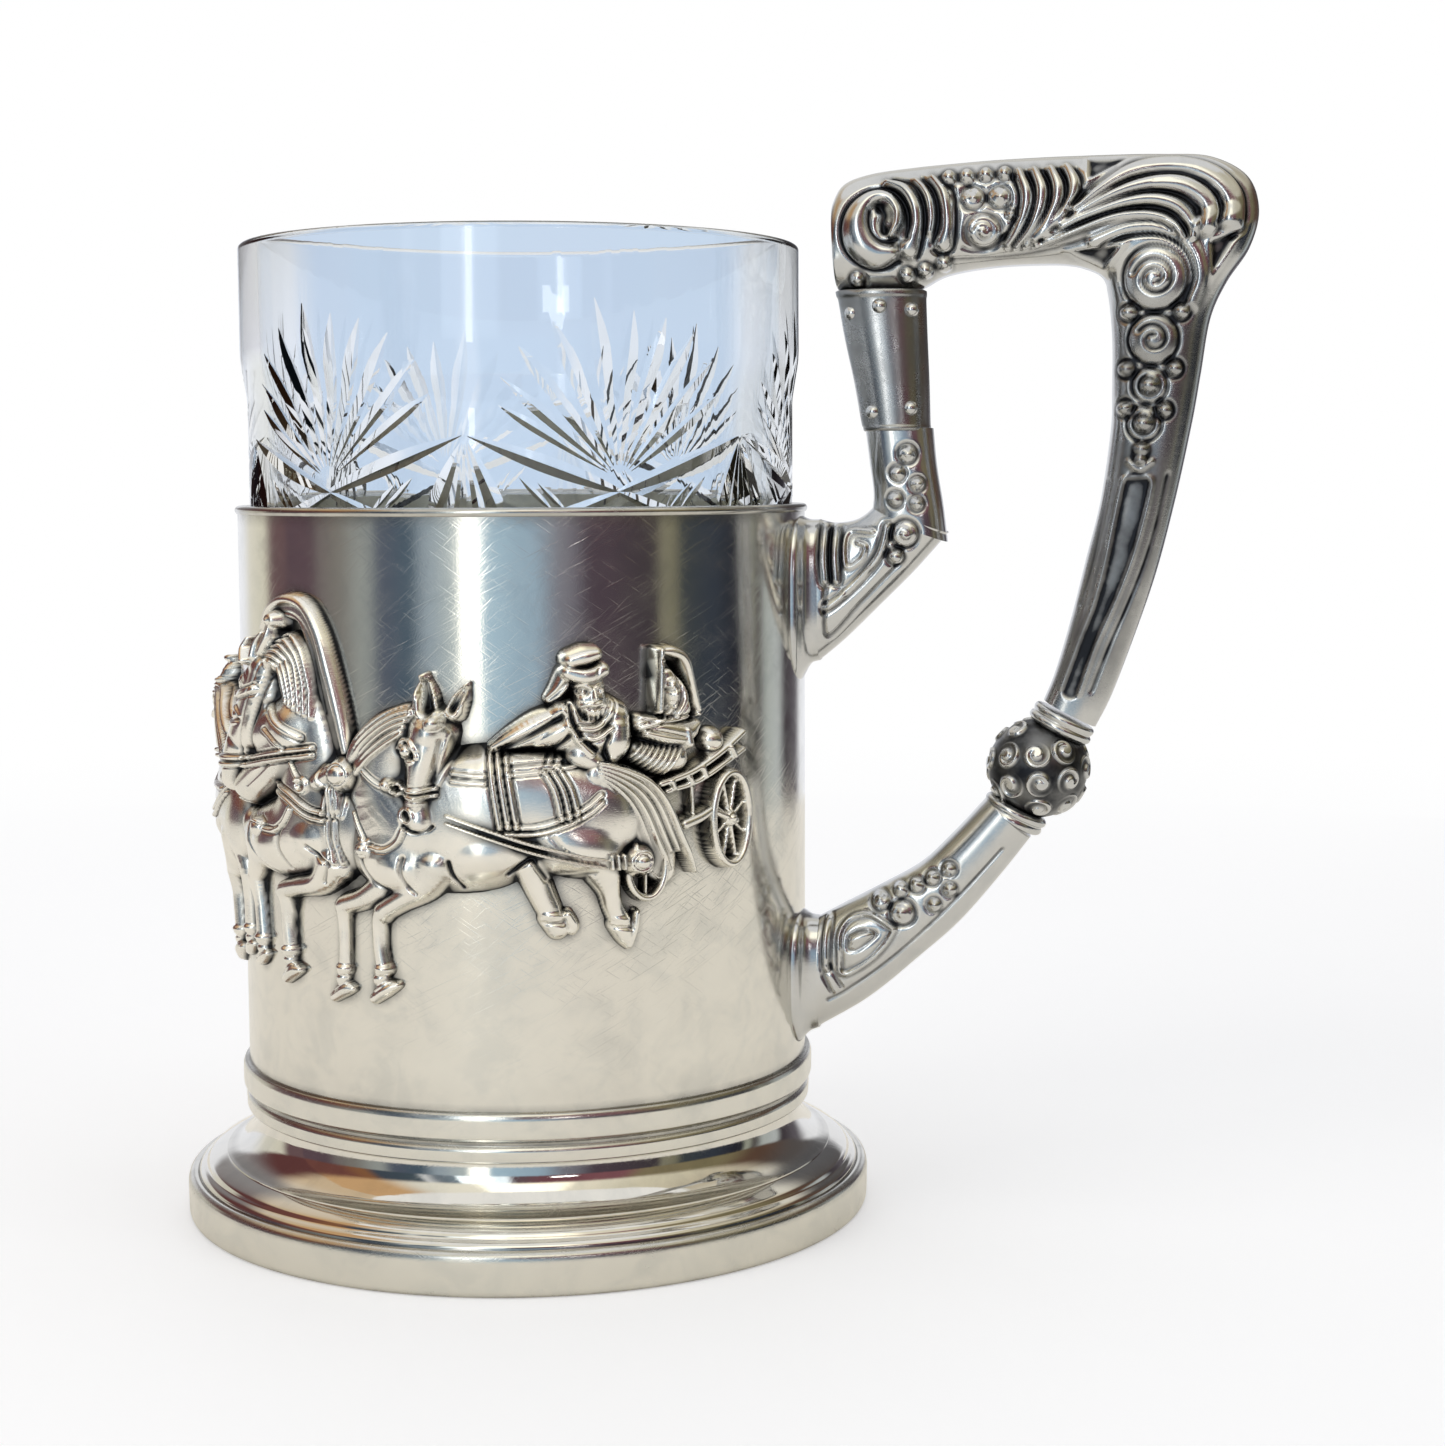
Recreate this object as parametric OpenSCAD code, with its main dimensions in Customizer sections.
// Tea glass holder with a cut-glass tumbler: a turned metal cup on a moulded foot,
// a cast handle with a knop, and a frieze of three horses drawing a carriage.
// The cup's axis is Z, the table is at Z = 0 and the handle points along +X.

/* [Cup] */
// Outer radius of the cup wall
wall_r = 34.8; // [32:0.1:38]
// Thickness of the cup wall
wall_t = 1.0; // [0.8:0.1:1.4]
// Height of the cup's rim above the table
wall_top = 87; // [84:0.5:96]
// Height of the rolled rim bead
rim_h = 1.0; // [0.6:0.1:1.6]
// How far the rim bead stands out from the wall
rim_out = 0.35; // [0.1:0.05:0.8]

/* [Foot] */
// Height of the two mouldings' top edge above the table
collar_top = 19; // [18:0.5:22]
// Height of the upper moulding
upper_ring_h = 3.2; // [2:0.1:4]
// How far the upper moulding stands out from the wall
upper_ring_out = 0.8; // [0.4:0.1:1.5]
// Height of the lower moulding
lower_ring_h = 2; // [1.5:0.1:3]
// How far the lower moulding stands out from the wall
lower_ring_out = 0.45; // [0.2:0.05:1]
// Height of the groove between the mouldings
groove_h = 0.8; // [0.5:0.1:1.2]
// Height of the smooth neck under the mouldings
neck_h = 5; // [4:0.1:7]
// How far the neck draws in from the wall
neck_in = 1.4; // [0.5:0.1:2]
// How far the foot stands out from the wall
foot_out = 7.8; // [6:0.1:12]
// Height of the foot's upright rim
foot_rim_h = 4.6; // [3:0.1:5]
// Thickness of the spun metal in the foot
foot_t = 1.5; // [1:0.1:2]
// Thickness of the floor under the glass
floor_t = 1.2; // [0.8:0.1:2]

/* [Handle] */
// Reach of the handle from the wall to its tip
handle_reach = 54.2; // [48:0.5:62]
// Rise of the handle above the cup wall
handle_rise = 41.7; // [36:0.5:48]
// Gap between the mouldings and the lower flange
flange_gap = 1.4; // [1:0.1:3]
// Thickness of the flanges that seat on the wall
flange_t = 2.2; // [1.6:0.1:3]
// Depth of the castings, front to back
casting_d = 10; // [8:0.5:12]
// Radius of the knop
knop_r = 6.3; // [5:0.1:6.5]
// Thickness of each knop collar
collar_t = 1.8; // [1.2:0.1:2.2]
// Lean of the knop's axis away from upright
knop_lean = 27; // [24:1:30]
// Radius of a sleeve stud
stud_r = 0.9; // [0.5:0.1:1.2]

/* [Frieze] */
// Length along the wall that stands for one share
frieze_w = 100; // [94:1:104]
// Height of the field that the frieze fills
frieze_h = 50; // [46:1:54]
// Height of the lowest hooves' ground line above the table
frieze_z = 30; // [28:0.5:32]
// How far the nearest figure stands out from the wall
frieze_d = 5; // [4:0.1:6]

/* [Tumbler] */
// How far the tumbler's plain lip stands out from its cut wall
lip_out = 0.8; // [0.4:0.1:1.2]
// Radial gap between the tumbler and the cup wall
glass_gap = 0.5; // [0.3:0.1:1]
// Height of the tumbler
glass_h = 101.2; // [96:0.2:110]
// Thickness of the tumbler's lip
lip_t = 1.5; // [1.2:0.1:2]
// Thickness of the tumbler's cut wall
cut_wall_t = 2.4; // [2:0.1:3]
// Thickness of the tumbler's base
glass_base_t = 6; // [4:0.5:10]
// Height of the plain band under the lip
lip_band = 13; // [8:0.5:16]

/* [Hidden] */

silver = "silver";
dark_silver = "darkgray";
clear_glass = "lightcyan";

// Fineness of round turned parts, of the sunk core and of the small balls
turned_fn = 180;
core_fn = 120;
ball_fn = 10;
// Hair gap under every applied figure
seat = 0.02;
// Overrun of a cut past the solid it cuts
over = 1;

wall_in = wall_r - wall_t;
wall_low = collar_top;
wall_high = wall_top - rim_h;
collar_low = collar_top - upper_ring_h - groove_h - lower_ring_h;
neck_low = collar_low - neck_h;
neck_r = wall_r - neck_in;
foot_r = wall_r + foot_out;
foot_in = wall_r - 2.5 * foot_t;
floor_low = collar_low + lower_ring_h + groove_h;
floor_top = floor_low + floor_t;
floor_gap = 0.1 * wall_t;
rim_seat_w = 1.7 * foot_t;

// Drawn cup wall
module wall_shell() {
    color(silver) difference() {
        translate([0, 0, wall_low])
            cylinder(r = wall_r, h = wall_high - wall_low, $fn = turned_fn);
        translate([0, 0, wall_low - over])
            cylinder(r = wall_in, h = wall_high - wall_low + 2 * over, $fn = turned_fn);
    }
}

// Rolled bead on the rim, half round on top
module rim_bead() {
    mid = (wall_in + wall_r + rim_out) / 2;
    half = mid - wall_in;
    color(silver) rotate_extrude($fn = turned_fn)
        polygon([for (a = [0 : 20 : 180]) [mid + half * cos(a), wall_high + rim_h * sin(a)]]);
}

// Disc that carries the tumbler, let into the collar
module floor_plate() {
    color(silver) translate([0, 0, floor_low])
        cylinder(r = wall_in - floor_gap, h = floor_t, $fn = turned_fn);
}

// Two turned mouldings with a groove between them
module base_collar() {
    upper_r = wall_r + upper_ring_out;
    lower_r = wall_r + lower_ring_out;
    lower_mid = collar_low + lower_ring_h / 2;
    upper_mid = collar_top - upper_ring_h / 2;
    color(silver) rotate_extrude($fn = turned_fn)
        polygon([
            [foot_in, collar_low],
            for (a = [-80 : 20 : 80])
                [lower_r - lower_ring_out + lower_ring_out * cos(a),
                 lower_mid + lower_ring_h / 2 * sin(a)],
            [wall_r, collar_low + lower_ring_h],
            [wall_r, collar_low + lower_ring_h + groove_h],
            for (a = [-80 : 20 : 80])
                [upper_r - upper_ring_out + upper_ring_out * cos(a),
                 upper_mid + upper_ring_h / 2 * sin(a)],
            [wall_in, collar_top],
            [wall_in, floor_low],
            [foot_in, floor_low]
        ]);
}

// Smooth neck that draws in under the mouldings
module foot_neck() {
    color(silver) rotate_extrude($fn = turned_fn)
        polygon([
            [foot_in, neck_low],
            [neck_r, neck_low],
            for (a = [0 : 15 : 90])
                [neck_r + 0.6 * neck_in * (1 - cos(a)), neck_low + neck_h * (0.4 + 0.6 * sin(a))],
            [foot_in, collar_low]
        ]);
}

// Spun flange from the neck out to the rim, with a small step near its edge
foot_fall = neck_low - foot_rim_h;
step_r = foot_r - 1.4 * foot_t;
edge_r = foot_r - 0.7 * foot_t;
module foot_plate() {
    color(silver) rotate_extrude($fn = turned_fn)
        polygon([
            [foot_in, neck_low],
            [neck_r + 0.2 * foot_t, neck_low],
            [(neck_r + step_r) / 2, neck_low - 0.22 * foot_fall],
            [step_r - 0.6 * foot_t, neck_low - 0.45 * foot_fall],
            [step_r, neck_low - 0.55 * foot_fall],
            [step_r + 0.15 * foot_t, neck_low - 0.72 * foot_fall],
            [edge_r, neck_low - 0.76 * foot_fall],
            [edge_r, foot_rim_h - 0.3 * foot_t],
            [foot_r - rim_seat_w, foot_rim_h - 0.3 * foot_t],
            [step_r - foot_t, neck_low - 0.45 * foot_fall - foot_t],
            [(neck_r + step_r) / 2, neck_low - 0.22 * foot_fall - foot_t],
            [foot_in, neck_low - foot_t]
        ]);
}

// Upright rim that stands on the table
module foot_rim() {
    color(silver) rotate_extrude($fn = turned_fn)
        polygon([
            [foot_r - rim_seat_w, 0],
            [foot_r, 0],
            [foot_r, foot_rim_h],
            [foot_r - 0.3 * foot_t, neck_low - 0.86 * foot_fall],
            [edge_r, neck_low - 0.78 * foot_fall],
            [edge_r, foot_rim_h - 0.3 * foot_t],
            [foot_r - rim_seat_w, foot_rim_h - 0.3 * foot_t]
        ]);
}

// Places on the handle are shares. Along X a share is of the reach from the wall. Along Z,
// 0 to 1 runs from the lower flange to the top of the wall, and 1 to 2 up to the handle's top.
handle_low = collar_top + flange_gap;
function hx(share) = wall_r + share * handle_reach;
function hz(share) =
    share <= 1 ? handle_low + share * (wall_high - handle_low) : wall_high + (share - 1) * handle_rise;
face_x = wall_r + flange_t;

// Casting swept through stations, each given by its inner edge, outer edge and half depth
casting_fn = 16;
function squared(v, e) = sign(v) * pow(abs(v), e);
function section(st, round_share) = [
    for (k = [0 : casting_fn - 1])
        let (
            a = 360 * (k + 0.5) / casting_fn,
            u = squared(cos(a), round_share),
            v = squared(sin(a), round_share),
            mid = (st[0] + st[1]) / 2,
            arm = (st[1] - st[0]) / 2
        )
        [mid[0] + arm[0] * u, st[2] * v, mid[1] + arm[1] * u]
];
module casting(stations, round_share = 0.6) {
    n = casting_fn;
    m = len(stations);
    points = [for (st = stations) each section(st, round_share)];
    faces = [
        [for (k = [0 : n - 1]) k],
        for (i = [0 : m - 2]) for (k = [0 : n - 1]) each [
            [i * n + k, (i + 1) * n + k, (i + 1) * n + (k + 1) % n],
            [i * n + k, (i + 1) * n + (k + 1) % n, i * n + (k + 1) % n]
        ],
        [for (k = [n - 1 : -1 : 0]) (m - 1) * n + k]
    ];
    polyhedron(points, faces, convexity = 6);
}
// Stations written as shares: inner x and z, outer x and z, half depth
function stations_at(shares) = [
    for (s = shares) [[hx(s[0]), hz(s[1])], [hx(s[2]), hz(s[3])], s[4] * casting_d]
];

// Lower end of the upper bracket and the joint line between bracket and strut
strut_foot_shares = [[0.162, 1.002, 0.325, 0.947, 0.42]];
bracket_shares = [
    [0.150, 0.994, 0.240, 0.869, 0.42],
    [0.095, 0.988, 0.140, 0.794, 0.42]
];
flange_low_share = 0.681;
flange_high_share = 0.995;
sleeve_low_shares = [[0.137, 1.228], [0.288, 1.228]];
sleeve_high_shares = [[0.076, 1.628], [0.277, 1.628]];
strut_shares = [
    [0.158, 1.12, 0.304, 1.12, 0.40],
    [0.162, 1.05, 0.318, 1.014, 0.41]
];
sleeve_depth = 1.04 * casting_d;

// Saddle that seats on the wall and carries a casting on its flat face
module saddle(low_share, high_share) {
    depth = 1.3 * casting_d;
    color(silver) difference() {
        translate([wall_r - flange_t, -depth / 2, hz(low_share)])
            cube([2 * flange_t, depth, hz(high_share) - hz(low_share)]);
        translate([0, 0, hz(low_share) - over])
            cylinder(r = wall_r, h = hz(high_share) - hz(low_share) + 2 * over, $fn = turned_fn);
    }
}
module upper_flange() {
    saddle(flange_low_share, flange_high_share);
}

// Solid web from the upper flange up to the strut
module upper_bracket() {
    wall_end = [[face_x, hz(0.982)], [face_x, hz(0.721)], 0.42 * casting_d];
    color(silver)
        casting(concat(stations_at(strut_foot_shares), stations_at(bracket_shares), [wall_end]), 0.45);
}

// Strut between the bracket and the sleeve
module front_strut() {
    top = [for (p = sleeve_low_shares) [hx(p[0]), hz(p[1])]];
    head = [[top[0], top[1], 0.44 * casting_d]];
    color(silver)
        casting(concat(head, stations_at(strut_shares), stations_at(strut_foot_shares)), 0.5);
}

// Plain sleeve wrapped round the joint of strut and bar
module strut_sleeve() {
    outline = [
        for (p = [sleeve_low_shares[0], sleeve_low_shares[1], sleeve_high_shares[1], sleeve_high_shares[0]])
            [hx(p[0]), hz(p[1])]
    ];
    color(silver) rotate([90, 0, 0])
        linear_extrude(height = sleeve_depth, center = true) polygon(outline);
}

// Round studs on both flat faces of the sleeve
stud_shares = [[0.11, 1.59], [0.19, 1.595], [0.262, 1.59], [0.16, 1.27], [0.265, 1.27]];
module sleeve_studs() {
    color(silver) for (side = [-1, 1]) for (p = stud_shares)
        translate([hx(p[0]), side * sleeve_depth / 2, hz(p[1])])
            rotate([-90 * side, 0, 0])
                rotate_extrude($fn = 24)
                    polygon([
                        [0, 0],
                        for (a = [0 : 18 : 90]) [stud_r * cos(a), 0.6 * stud_r * sin(a)]
                    ]);
}

// Fluted bar over the sleeve
bar_shares = [
    [0.062, 1.590, 0.062, 1.882, 0.40],
    [0.090, 1.578, 0.090, 1.942, 0.50],
    [0.175, 1.578, 0.175, 1.966, 0.55],
    [0.277, 1.578, 0.277, 1.978, 0.55],
    [0.330, 1.671, 0.330, 1.986, 0.55],
    [0.439, 1.691, 0.439, 1.990, 0.55]
];
bar_end_shares = [[0.539, 1.695, 0.539, 1.998, 0.55]];
module top_bar() {
    sleeve_z = hz(sleeve_high_shares[0][1]);
    color(silver) difference() {
        casting(stations_at(concat(bar_shares, bar_end_shares)), 0.5);
        translate([wall_r, -casting_d, sleeve_z - handle_reach])
            cube([hx(sleeve_high_shares[1][0]) - wall_r, 2 * casting_d, handle_reach]);
    }
}

// Curved arm from the bar over the tip and down to the knop
arm_shares = [
    [0.631, 1.681, 0.631, 2.000, 0.55],
    [0.656, 1.667, 0.788, 2.000, 0.54],
    [0.668, 1.655, 0.955, 1.952, 0.52],
    [0.673, 1.616, 0.998, 1.832, 0.50],
    [0.679, 1.561, 0.960, 1.700, 0.48],
    [0.684, 1.456, 0.894, 1.561, 0.46],
    [0.684, 1.336, 0.874, 1.384, 0.45],
    [0.683, 1.230, 0.858, 1.249, 0.44],
    [0.662, 1.031, 0.825, 1.036, 0.42],
    [0.631, 0.910, 0.786, 0.892, 0.40],
    [0.600, 0.802, 0.742, 0.779, 0.38],
    [0.567, 0.706, 0.692, 0.666, 0.36]
];
knop_x_share = 0.530;
knop_z_share = 0.527;
knop_at = [hx(knop_x_share), hz(knop_z_share)];
knop_along = [sin(knop_lean), cos(knop_lean)];
knop_across = [cos(knop_lean), -sin(knop_lean)];
knop_flat = 0.86 * knop_r;
collar_r = 0.64 * knop_r;
neck_end_r = 0.56 * knop_r;
function knop_station(offset) =
    let (c = knop_at + offset * knop_along)
    [c - neck_end_r * knop_across, c + neck_end_r * knop_across, neck_end_r];
module outer_arm() {
    end = [knop_station(knop_flat + collar_t)];
    color(silver) casting(concat(stations_at(bar_end_shares), stations_at(arm_shares), end), 0.6);
}

// Turns a shape on the Z axis onto the knop's leaning axis
module on_knop() {
    translate([knop_at[0], 0, knop_at[1]]) rotate([0, knop_lean, 0]) children();
}
module knop() {
    color(dark_silver) on_knop() rotate_extrude($fn = 48)
        polygon([
            [0, -knop_flat],
            for (a = [-asin(0.86) : asin(0.86) / 6 : asin(0.86)]) [knop_r * cos(a), knop_r * sin(a)],
            [0, knop_flat]
        ]);
}
module knop_collar() {
    rotate_extrude($fn = 48)
        polygon([
            [0, 0],
            for (a = [-70 : 20 : 70])
                [collar_r - 0.4 * collar_t + 0.4 * collar_t * cos(a),
                 collar_t / 2 + collar_t / 2 * sin(a) / sin(70)],
            [0, collar_t]
        ]);
}
module knop_collar_upper() {
    color(silver) on_knop() translate([0, 0, knop_flat]) knop_collar();
}
module knop_collar_lower() {
    color(silver) on_knop() translate([0, 0, -knop_flat - collar_t]) knop_collar();
}

// Lower arm from the knop back to the wall
lower_shares = [
    [0.336, 0.399, 0.448, 0.328, 0.40],
    [0.269, 0.348, 0.360, 0.241, 0.42],
    [0.179, 0.304, 0.269, 0.172, 0.44],
    [0.100, 0.269, 0.157, 0.093, 0.46]
];
lower_flange_low_share = 0;
lower_flange_high_share = 0.253;
module lower_arm() {
    start = [knop_station(-knop_flat - collar_t)];
    wall_end = [[face_x, hz(0.239)], [face_x, hz(0.021)], 0.46 * casting_d];
    color(silver) casting(concat(start, stations_at(lower_shares), [wall_end]), 0.5);
}
module lower_flange() {
    saddle(lower_flange_low_share, lower_flange_high_share);
}

// Frieze places: shares along the wall from its front, up the field, ball radius and crown
function on_wall(p) =
    let (
        a = p[0] * frieze_w / wall_r * 180 / PI - 90,
        r = wall_r + (p[3] - p[2]) * frieze_d
    )
    [r * cos(a), r * sin(a), frieze_z + p[1] * frieze_h];
module ball(p) {
    translate(on_wall(p)) sphere(p[2] * frieze_d, $fn = ball_fn);
}
module limb(shares) {
    for (i = [0 : len(shares) - 2]) hull() {
        ball(shares[i]);
        ball(shares[i + 1]);
    }
}
// Cuts a figure back to the wall's face
module seated() {
    difference() {
        union() children();
        translate([0, 0, wall_low])
            cylinder(r = wall_r + seat, h = wall_high - wall_low, $fn = core_fn);
    }
}

near_barrel_shares = [[-0.04, 0.44, 1.24, 0.76], [0.03, 0.448, 1.4, 0.84], [0.10, 0.446, 1.38, 0.8], [0.145, 0.46, 1.26, 0.8]];
near_chest_shares = [[-0.082, 0.38, 0.84, 0.76], [-0.04, 0.41, 1.08, 0.8]];
near_neck_shares = [[-0.03, 0.52, 0.92, 0.84], [-0.062, 0.60, 0.8, 0.88], [-0.05, 0.666, 0.6, 0.84], [-0.02, 0.70, 0.48, 0.8]];
near_head_shares = [[-0.01, 0.69, 0.52, 1], [-0.017, 0.61, 0.6, 1.08], [-0.026, 0.51, 0.4, 1.12], [-0.031, 0.444, 0.4, 1.08]];
near_ear_shares = [[-0.026, 0.71, 0.2, 0.88], [-0.03, 0.764, 0.08, 0.8]];
near_ear2_shares = [[0.01, 0.704, 0.2, 0.88], [0.02, 0.748, 0.08, 0.8]];
near_foreleg_shares = [[-0.025, 0.36, 0.72, 0.8], [-0.045, 0.27, 0.5, 0.76], [-0.093, 0.22, 0.32, 0.68], [-0.087, 0.10, 0.24, 0.6], [-0.086, 0.036, 0.3, 0.6]];
near_foreleg2_shares = [[-0.085, 0.33, 0.64, 0.64], [-0.115, 0.272, 0.44, 0.6], [-0.154, 0.23, 0.3, 0.52], [-0.146, 0.096, 0.22, 0.48], [-0.15, 0.032, 0.26, 0.48]];
near_hind_shares = [[0.16, 0.40, 0.92, 0.76], [0.171, 0.316, 0.56, 0.68], [0.178, 0.254, 0.34, 0.6], [0.195, 0.19, 0.24, 0.56], [0.198, 0.144, 0.28, 0.56]];
near_hind2_shares = [[0.10, 0.34, 0.6, 0.6], [0.09, 0.28, 0.36, 0.54], [0.105, 0.225, 0.28, 0.5], [0.125, 0.175, 0.28, 0.48]];
near_tail_shares = [[0.163, 0.566, 0.36, 0.72], [0.20, 0.54, 0.44, 0.72], [0.24, 0.44, 0.48, 0.64], [0.265, 0.35, 0.32, 0.56], [0.274, 0.30, 0.16, 0.48]];
module near_horse_form() {
    for (t = [near_barrel_shares, near_chest_shares, near_neck_shares, near_head_shares,
              near_ear_shares, near_ear2_shares, near_foreleg_shares, near_foreleg2_shares,
              near_hind_shares, near_hind2_shares, near_tail_shares])
        limb(t);
}
// Trace horse that runs nearest the front, with its head turned out
module near_horse() {
    color(silver) seated() near_horse_form();
}

centre_head_shares = [[-0.26, 0.77, 0.64, 0.84], [-0.285, 0.66, 0.84, 0.92], [-0.31, 0.54, 0.64, 0.92], [-0.323, 0.466, 0.52, 0.88]];
centre_cheek_shares = [[-0.245, 0.62, 0.68, 0.72], [-0.27, 0.55, 0.6, 0.76]];
centre_neck_shares = [[-0.23, 0.72, 0.6, 0.6], [-0.21, 0.60, 0.8, 0.6], [-0.205, 0.48, 0.92, 0.64], [-0.22, 0.36, 0.88, 0.68]];
centre_body_shares = [[-0.205, 0.42, 0.96, 0.6], [-0.13, 0.44, 1.0, 0.44]];
centre_foreleg_shares = [[-0.20, 0.31, 0.56, 0.68], [-0.243, 0.24, 0.34, 0.64], [-0.23, 0.096, 0.24, 0.56], [-0.236, 0.036, 0.3, 0.56]];
centre_foreleg2_shares = [[-0.25, 0.36, 0.64, 0.6], [-0.315, 0.26, 0.32, 0.6], [-0.31, 0.11, 0.24, 0.52], [-0.316, 0.05, 0.28, 0.52]];
centre_ear_shares = [[-0.272, 0.79, 0.2, 0.8], [-0.276, 0.852, 0.08, 0.72]];
centre_ear2_shares = [[-0.30, 0.776, 0.2, 0.76], [-0.31, 0.83, 0.08, 0.68]];
module centre_horse_form() {
    for (t = [centre_head_shares, centre_cheek_shares, centre_neck_shares, centre_body_shares,
              centre_foreleg_shares, centre_foreleg2_shares, centre_ear_shares, centre_ear2_shares])
        limb(t);
}
// Shaft horse, which trots under the bow
module centre_horse() {
    color(silver) difference() {
        seated() centre_horse_form();
        near_horse_form();
    }
}

// Bow over the shaft horse with a ball at each foot
bow_shares = [
    [-0.347, 0.58, 0.21, 0.6], [-0.338, 0.66, 0.21, 0.6], [-0.322, 0.76, 0.21, 0.6],
    [-0.30, 0.84, 0.21, 0.6], [-0.275, 0.895, 0.21, 0.6], [-0.246, 0.925, 0.21, 0.6],
    [-0.212, 0.936, 0.21, 0.6], [-0.18, 0.92, 0.21, 0.6], [-0.153, 0.852, 0.21, 0.6],
    [-0.135, 0.76, 0.21, 0.6], [-0.125, 0.666, 0.21, 0.6], [-0.126, 0.58, 0.21, 0.6]
];
bow_ball_shares = [[-0.35, 0.544, 0.38, 0.84], [-0.126, 0.544, 0.38, 0.96]];
module shaft_bow_form() {
    limb(bow_shares);
    for (p = bow_ball_shares) ball(p);
}
module shaft_bow() {
    color(silver) difference() {
        seated() shaft_bow_form();
        near_horse_form();
        centre_horse_form();
    }
}

far_body_shares = [[-0.36, 0.42, 0.92, 0.36], [-0.40, 0.42, 1.04, 0.44], [-0.46, 0.39, 0.96, 0.6]];
far_neck_shares = [[-0.46, 0.48, 0.88, 0.68], [-0.49, 0.60, 0.72, 0.76], [-0.515, 0.68, 0.52, 0.76]];
far_head_shares = [[-0.52, 0.68, 0.52, 0.88], [-0.535, 0.60, 0.56, 0.96], [-0.55, 0.50, 0.4, 0.96], [-0.556, 0.44, 0.38, 0.92]];
far_ear_shares = [[-0.512, 0.71, 0.2, 0.8], [-0.506, 0.764, 0.08, 0.72]];
far_ear2_shares = [[-0.538, 0.70, 0.2, 0.8], [-0.544, 0.752, 0.08, 0.72]];
far_foreleg_shares = [[-0.46, 0.33, 0.6, 0.6], [-0.505, 0.25, 0.36, 0.6], [-0.495, 0.11, 0.24, 0.52], [-0.503, 0.044, 0.3, 0.52]];
far_foreleg2_shares = [[-0.42, 0.33, 0.6, 0.52], [-0.445, 0.24, 0.34, 0.52], [-0.43, 0.10, 0.24, 0.48], [-0.438, 0.04, 0.28, 0.48]];
// Trace horse on the far side, which runs round the wall out of the front view
module far_horse() {
    color(silver) difference() {
        seated() for (t = [far_body_shares, far_neck_shares, far_head_shares, far_ear_shares,
                           far_ear2_shares, far_foreleg_shares, far_foreleg2_shares])
            limb(t);
        centre_horse_form();
        shaft_bow_form();
    }
}

// Driver in a long coat and a low cap, reaching for the reins
coach_torso_shares = [[0.14, 0.61, 0.92, 0.56], [0.135, 0.69, 0.72, 0.56]];
coach_left_arm_shares = [[0.105, 0.676, 0.48, 0.56], [0.055, 0.616, 0.28, 0.44]];
coach_right_arm_shares = [[0.175, 0.66, 0.48, 0.6], [0.19, 0.606, 0.4, 0.68]];
coach_head_shares = [[0.14, 0.71, 0.44, 0.68], [0.152, 0.736, 0.4, 0.84], [0.146, 0.80, 0.42, 0.8]];
module coachman_form() {
    for (t = [coach_torso_shares, coach_left_arm_shares, coach_right_arm_shares, coach_head_shares])
        limb(t);
}
module coachman() {
    color(silver) difference() {
        seated() coachman_form();
        near_horse_form();
    }
}

// Rider in a hooded coat
rider_head_shares = [[0.244, 0.728, 0.52, 0.72], [0.252, 0.748, 0.6, 0.6]];
rider_torso_shares = [[0.245, 0.68, 0.6, 0.56], [0.245, 0.61, 0.92, 0.56], [0.26, 0.54, 0.84, 0.48]];
rider_arm_shares = [[0.222, 0.63, 0.4, 0.6], [0.212, 0.566, 0.34, 0.6]];
module passenger_form() {
    for (t = [rider_head_shares, rider_torso_shares, rider_arm_shares]) limb(t);
}
module passenger() {
    color(silver) difference() {
        seated() passenger_form();
        near_horse_form();
        coachman_form();
    }
}

// Pole from the near horse's collar back to the carriage, with a ball at its end
pole_shares = [[0.003, 0.464, 0.1, 0.94], [0.085, 0.412, 0.1, 0.94], [0.171, 0.352, 0.1, 0.9], [0.185, 0.352, 0.16, 0.8]];
pole_ball_shares = [0.201, 0.354, 0.28, 0.9];
module carriage_shaft_form() {
    limb(pole_shares);
    ball(pole_ball_shares);
}
module carriage_shaft() {
    color(silver) difference() {
        seated() carriage_shaft_form();
        near_horse_form();
    }
}

// Spoked wheel drawn narrow, as seen from ahead
module wheel_form(along, up, half_w, half_h, crown) {
    rim_n = 14;
    function rim_at(k) = [
        along + half_w * cos(360 * k / rim_n), up + half_h * sin(360 * k / rim_n), 0.13, crown
    ];
    for (k = [0 : rim_n - 1]) hull() {
        ball(rim_at(k));
        ball(rim_at(k + 1));
    }
    for (k = [0 : 2 : rim_n - 1]) limb([[along, up, 0.1, crown], rim_at(k)]);
    ball([along, up, 0.2, crown + 0.06]);
}
module front_wheel_form() {
    wheel_form(0.218, 0.325, 0.024, 0.07, 0.5);
}
module front_wheel() {
    color(silver) difference() {
        seated() front_wheel_form();
        near_horse_form();
        carriage_shaft_form();
    }
}

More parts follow.
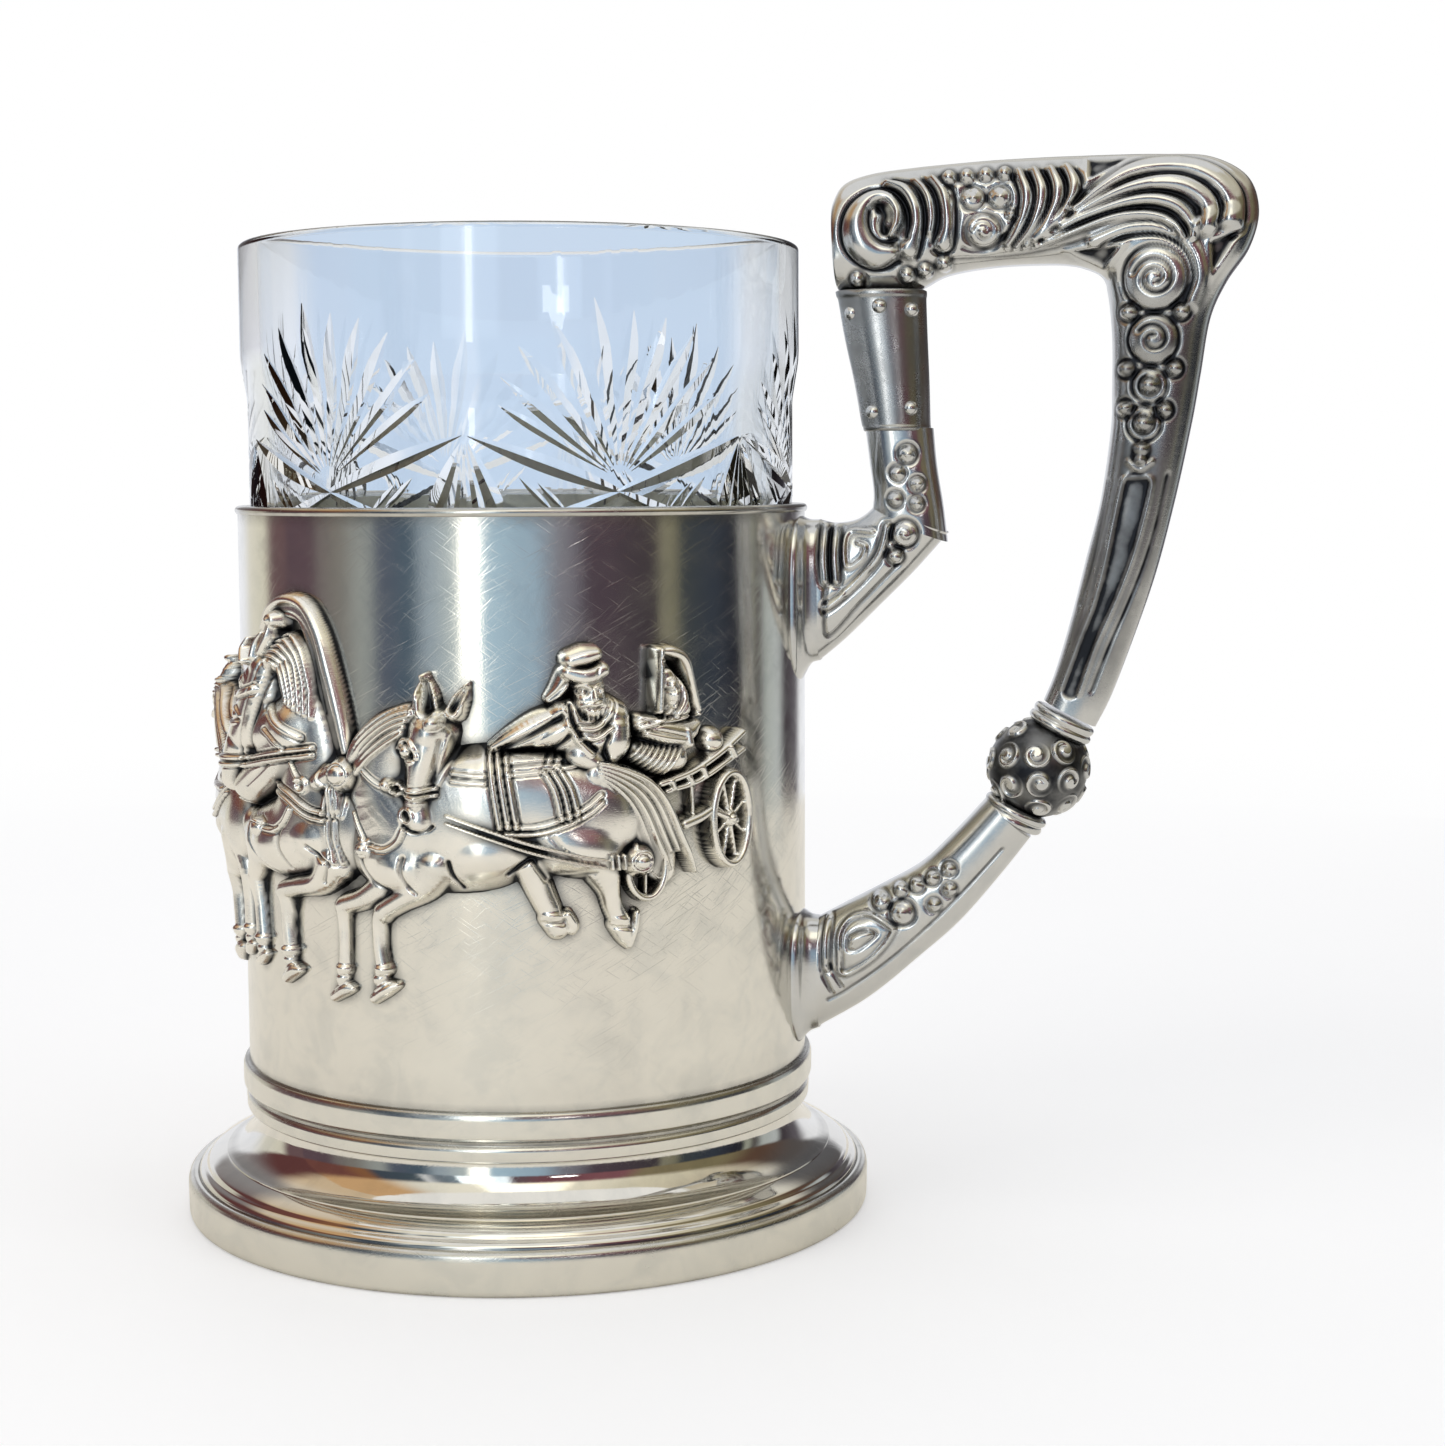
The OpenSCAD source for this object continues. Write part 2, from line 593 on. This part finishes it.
// Low carriage body with a rail and luggage behind the seat
tub_shares = [[0.22, 0.47, 0.64, 0.36], [0.28, 0.48, 0.68, 0.4], [0.325, 0.53, 0.48, 0.4]];
rail_shares = [[0.225, 0.52, 0.16, 0.56], [0.297, 0.544, 0.16, 0.56], [0.354, 0.61, 0.14, 0.5]];
luggage_shares = [[0.30, 0.59, 0.44, 0.5], [0.33, 0.60, 0.36, 0.46]];
axle_shares = [[0.25, 0.40, 0.14, 0.5], [0.331, 0.426, 0.14, 0.4]];
module carriage_body_form() {
    for (t = [tub_shares, rail_shares, luggage_shares, axle_shares]) limb(t);
}
module carriage_body() {
    color(silver) difference() {
        seated() carriage_body_form();
        near_horse_form();
        passenger_form();
        front_wheel_form();
        carriage_shaft_form();
    }
}
module rear_wheel() {
    color(silver) difference() {
        seated() wheel_form(0.331, 0.426, 0.03, 0.114, 0.56);
        carriage_body_form();
    }
}

// Tumbler: plain lip over a thicker wall that carries the cut pattern
glass_low_r = wall_in - glass_gap;
lip_r = glass_low_r + lip_out;
glass_z = floor_top;
glass_top = glass_z + glass_h;
band_z = glass_top - lip_band;
base_round = 0.5 * glass_base_t;
module tea_glass() {
    bore_r = glass_low_r - cut_wall_t;
    color(clear_glass) rotate_extrude($fn = turned_fn)
        polygon([
            [0, glass_z + 0.2 * glass_base_t],
            [0.6 * glass_low_r, glass_z + 0.2 * glass_base_t],
            [0.66 * glass_low_r, glass_z],
            for (a = [-90 : 15 : 0])
                [glass_low_r - base_round + base_round * cos(a), glass_z + base_round + base_round * sin(a)],
            [glass_low_r, band_z - 0.4 * lip_band],
            [lip_r, band_z],
            for (a = [0 : 30 : 180])
                [lip_r - lip_t / 2 + lip_t / 2 * cos(a), glass_top - lip_t / 2 + lip_t / 2 * sin(a)],
            [lip_r - lip_t, band_z],
            [bore_r, band_z - lip_band],
            for (a = [0 : -15 : -90])
                [bore_r - base_round + base_round * cos(a),
                 glass_z + glass_base_t + base_round + base_round * sin(a)],
            [0, glass_z + glass_base_t]
        ]);
}

wall_shell();
rim_bead();
floor_plate();
base_collar();
foot_neck();
foot_plate();
foot_rim();
upper_flange();
upper_bracket();
front_strut();
strut_sleeve();
sleeve_studs();
top_bar();
outer_arm();
knop_collar_upper();
knop();
knop_collar_lower();
lower_arm();
lower_flange();
near_horse();
centre_horse();
far_horse();
shaft_bow();
coachman();
passenger();
carriage_body();
front_wheel();
rear_wheel();
carriage_shaft();
tea_glass();
